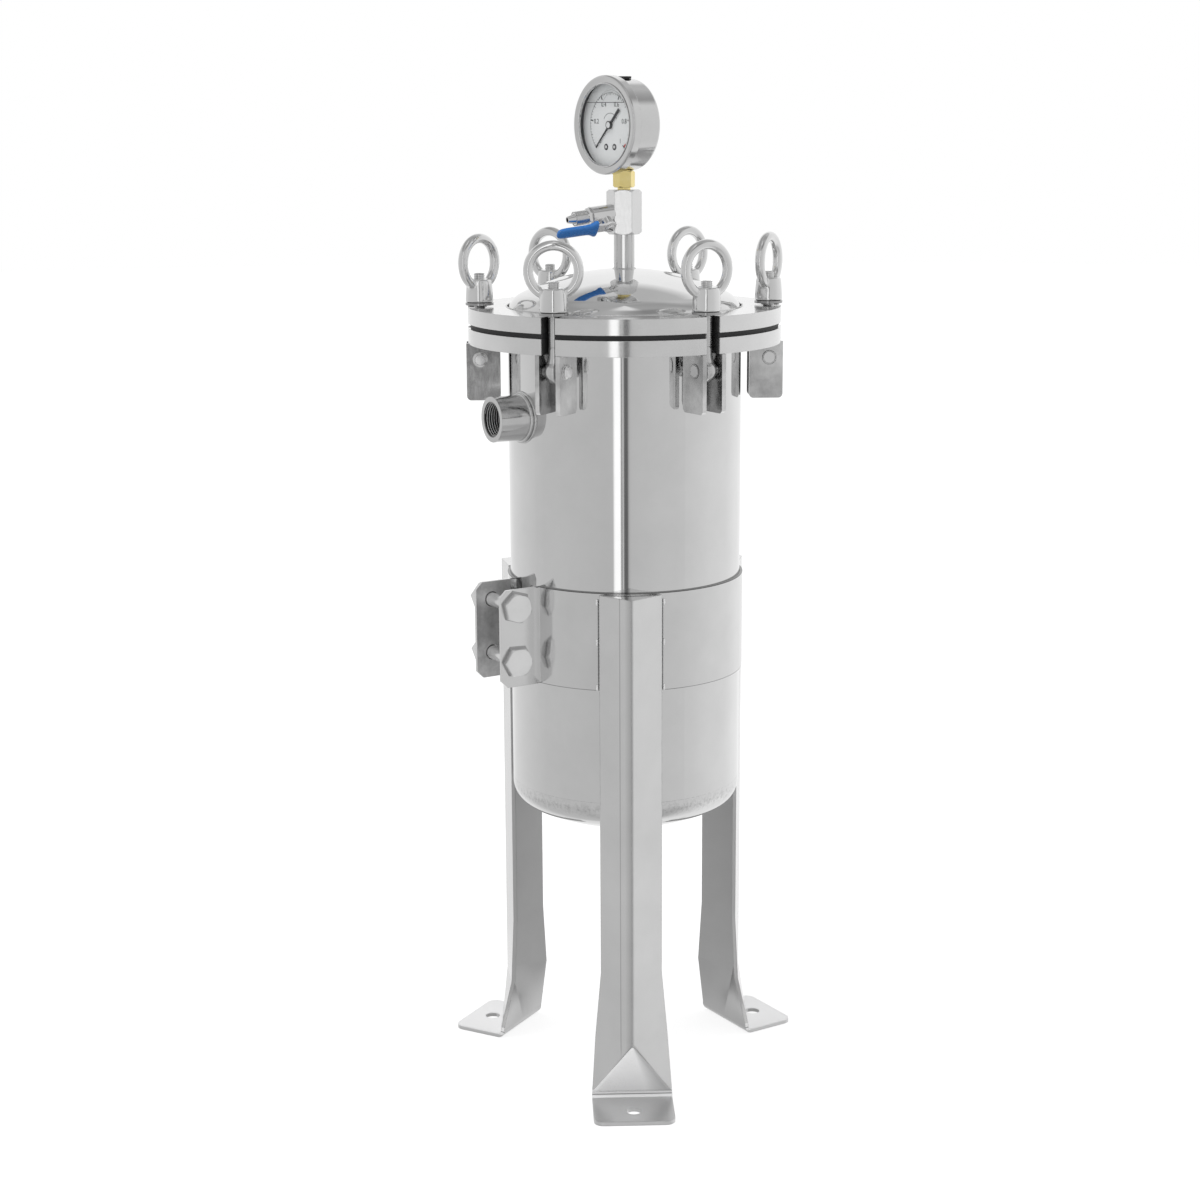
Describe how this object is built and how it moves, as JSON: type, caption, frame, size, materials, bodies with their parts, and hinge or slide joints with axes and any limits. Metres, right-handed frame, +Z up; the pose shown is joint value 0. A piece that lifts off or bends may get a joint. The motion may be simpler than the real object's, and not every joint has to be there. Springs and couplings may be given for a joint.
{
  "type": "bag filter housing",
  "caption": "Round steel bag filter housing on a three-legged clamp stand, with a bolted domed lid, a pressure gauge and a small vent valve.",
  "frame": {"origin": "on the floor, at the centre of the circle of the three foot bolts, under the vessel axis", "axes": "+Z up along the vessel axis, -Y towards the front leg"},
  "size_m": [0.2598, 0.2478, 0.7257],
  "materials": {
    "polished_steel": "polished",
    "satin_steel": "satin",
    "bright_steel": "bright",
    "gauge_steel": "satin",
    "brass": "satin",
    "black_rubber": "matte",
    "white_felt": "matte",
    "white_plastic": "matte",
    "clear_glass": "clear",
    "dial_face": "matte",
    "black_metal": "matte",
    "blue_vinyl": "gloss"
  },
  "bodies": {
    "stand": {"leg_front": "satin_steel", "leg_rear_left": "satin_steel", "leg_rear_right": "satin_steel", "clamp_band": "satin_steel", "clamp_bolts": "bright_steel", "clamp_nuts": "bright_steel", "clamp_washers": "bright_steel"},
    "vessel": {"vessel_shell": "polished_steel", "bottom_head": "polished_steel", "body_flange": "polished_steel", "flange_gasket": "black_rubber", "bag_seat_ring": "satin_steel", "restrainer_basket": "satin_steel", "filter_bag": "white_felt", "bag_collar": "white_plastic", "inlet_coupling": "polished_steel", "inlet_pad": "polished_steel", "outlet_coupling": "polished_steel", "lug_plates": "polished_steel", "clevis_pins": "bright_steel"},
    "lid": {"lid_flange": "polished_steel", "lid_dome": "polished_steel", "riser_pipe": "polished_steel", "hex_body": "bright_steel", "gauge_stem_nut": "brass", "gauge_case": "gauge_steel", "gauge_bezel": "gauge_steel", "gauge_glass": "clear_glass", "gauge_dial": "dial_face", "gauge_movement": "brass", "gauge_fill_plug": "black_rubber", "valve_body": "bright_steel", "vent_nipple": "bright_steel"},
    "pointer": {"gauge_pointer": "black_metal"},
    "vent_lever": {"valve_ball": "bright_steel", "valve_stem": "bright_steel", "valve_lever": "bright_steel", "lever_grip": "blue_vinyl", "lever_screw": "bright_steel"},
    "bolt_1": {"swing_bolt_1": "bright_steel"},
    "washer_1": {"bolt_washer_1": "bright_steel"},
    "nut_1": {"eye_nut_1": "polished_steel"},
    "bolt_2": {"swing_bolt_2": "bright_steel"},
    "washer_2": {"bolt_washer_2": "bright_steel"},
    "nut_2": {"eye_nut_2": "polished_steel"},
    "bolt_3": {"swing_bolt_3": "bright_steel"},
    "washer_3": {"bolt_washer_3": "bright_steel"},
    "nut_3": {"eye_nut_3": "polished_steel"},
    "bolt_4": {"swing_bolt_4": "bright_steel"},
    "washer_4": {"bolt_washer_4": "bright_steel"},
    "nut_4": {"eye_nut_4": "polished_steel"},
    "bolt_5": {"swing_bolt_5": "bright_steel"},
    "washer_5": {"bolt_washer_5": "bright_steel"},
    "nut_5": {"eye_nut_5": "polished_steel"},
    "bolt_6": {"swing_bolt_6": "bright_steel"},
    "washer_6": {"bolt_washer_6": "bright_steel"},
    "nut_6": {"eye_nut_6": "polished_steel"}
  },
  "joints": [
    {"name": "height_adjust", "type": "slide", "parent": "stand", "child": "vessel", "axis": [0, 0, 1], "range_m": [-0.078, 0.121]},
    {"name": "lid_lift", "type": "slide", "parent": "vessel", "child": "lid", "axis": [0, 0, 1], "range_m": [0, 0.01]},
    {"name": "pointer_turn", "type": "hinge", "parent": "lid", "child": "pointer", "pos_m": [0, 0, 0.69166], "axis": [0.8039, 0.5948, 0], "range_deg": [0, 270], "stiffness_Nm_per_rad": 0.0002},
    {"name": "vent_lever_turn", "type": "hinge", "parent": "lid", "child": "vent_lever", "pos_m": [-0.01484, -0.00676, 0.62995], "axis": [-0.3605, 0.6128, 0.7032], "range_deg": [0, 90]},
    {"name": "bolt_1_swing", "type": "hinge", "parent": "vessel", "child": "bolt_1", "pos_m": [-0.0515, -0.0892, 0.529], "axis": [0.866, -0.5, 0], "range_deg": [0, 170]},
    {"name": "washer_1_lift", "type": "slide", "parent": "bolt_1", "child": "washer_1", "axis": [0, 0, 1], "range_m": [0, 0.01]},
    {"name": "nut_1_turn", "type": "hinge", "parent": "washer_1", "child": "nut_1", "pos_m": [-0.0515, -0.0892, 0.58525], "axis": [0, 0, 1], "range_deg": [0, 2880]},
    {"name": "bolt_2_swing", "type": "hinge", "parent": "vessel", "child": "bolt_2", "pos_m": [0.0515, -0.0892, 0.529], "axis": [0.866, 0.5, 0], "range_deg": [0, 170]},
    {"name": "washer_2_lift", "type": "slide", "parent": "bolt_2", "child": "washer_2", "axis": [0, 0, 1], "range_m": [0, 0.01]},
    {"name": "nut_2_turn", "type": "hinge", "parent": "washer_2", "child": "nut_2", "pos_m": [0.0515, -0.0892, 0.58525], "axis": [0, 0, 1], "range_deg": [0, 2880]},
    {"name": "bolt_3_swing", "type": "hinge", "parent": "vessel", "child": "bolt_3", "pos_m": [0.103, 0, 0.529], "axis": [0, 1, 0], "range_deg": [0, 170]},
    {"name": "washer_3_lift", "type": "slide", "parent": "bolt_3", "child": "washer_3", "axis": [0, 0, 1], "range_m": [0, 0.01]},
    {"name": "nut_3_turn", "type": "hinge", "parent": "washer_3", "child": "nut_3", "pos_m": [0.103, 0, 0.58525], "axis": [0, 0, 1], "range_deg": [0, 2880]},
    {"name": "bolt_4_swing", "type": "hinge", "parent": "vessel", "child": "bolt_4", "pos_m": [0.0515, 0.0892, 0.529], "axis": [-0.866, 0.5, 0], "range_deg": [0, 170]},
    {"name": "washer_4_lift", "type": "slide", "parent": "bolt_4", "child": "washer_4", "axis": [0, 0, 1], "range_m": [0, 0.01]},
    {"name": "nut_4_turn", "type": "hinge", "parent": "washer_4", "child": "nut_4", "pos_m": [0.0515, 0.0892, 0.58525], "axis": [0, 0, 1], "range_deg": [0, 2880]},
    {"name": "bolt_5_swing", "type": "hinge", "parent": "vessel", "child": "bolt_5", "pos_m": [-0.0515, 0.0892, 0.529], "axis": [-0.866, -0.5, 0], "range_deg": [0, 170]},
    {"name": "washer_5_lift", "type": "slide", "parent": "bolt_5", "child": "washer_5", "axis": [0, 0, 1], "range_m": [0, 0.01]},
    {"name": "nut_5_turn", "type": "hinge", "parent": "washer_5", "child": "nut_5", "pos_m": [-0.0515, 0.0892, 0.58525], "axis": [0, 0, 1], "range_deg": [0, 2880]},
    {"name": "bolt_6_swing", "type": "hinge", "parent": "vessel", "child": "bolt_6", "pos_m": [-0.103, 0, 0.529], "axis": [0, -1, 0], "range_deg": [0, 170]},
    {"name": "washer_6_lift", "type": "slide", "parent": "bolt_6", "child": "washer_6", "axis": [0, 0, 1], "range_m": [0, 0.01]},
    {"name": "nut_6_turn", "type": "hinge", "parent": "washer_6", "child": "nut_6", "pos_m": [-0.103, 0, 0.58525], "axis": [0, 0, 1], "range_deg": [0, 2880]}
  ],
  "couplings": [
    {"joint": "washer_1_lift", "follows": "lid_lift", "ratio": 1},
    {"joint": "nut_1_turn", "follows": "lid_lift", "rad_per_m": 5026.5},
    {"joint": "washer_2_lift", "follows": "lid_lift", "ratio": 1},
    {"joint": "nut_2_turn", "follows": "lid_lift", "rad_per_m": 5026.5},
    {"joint": "washer_3_lift", "follows": "lid_lift", "ratio": 1},
    {"joint": "nut_3_turn", "follows": "lid_lift", "rad_per_m": 5026.5},
    {"joint": "washer_4_lift", "follows": "lid_lift", "ratio": 1},
    {"joint": "nut_4_turn", "follows": "lid_lift", "rad_per_m": 5026.5},
    {"joint": "washer_5_lift", "follows": "lid_lift", "ratio": 1},
    {"joint": "nut_5_turn", "follows": "lid_lift", "rad_per_m": 5026.5},
    {"joint": "washer_6_lift", "follows": "lid_lift", "ratio": 1},
    {"joint": "nut_6_turn", "follows": "lid_lift", "rad_per_m": 5026.5}
  ]
}
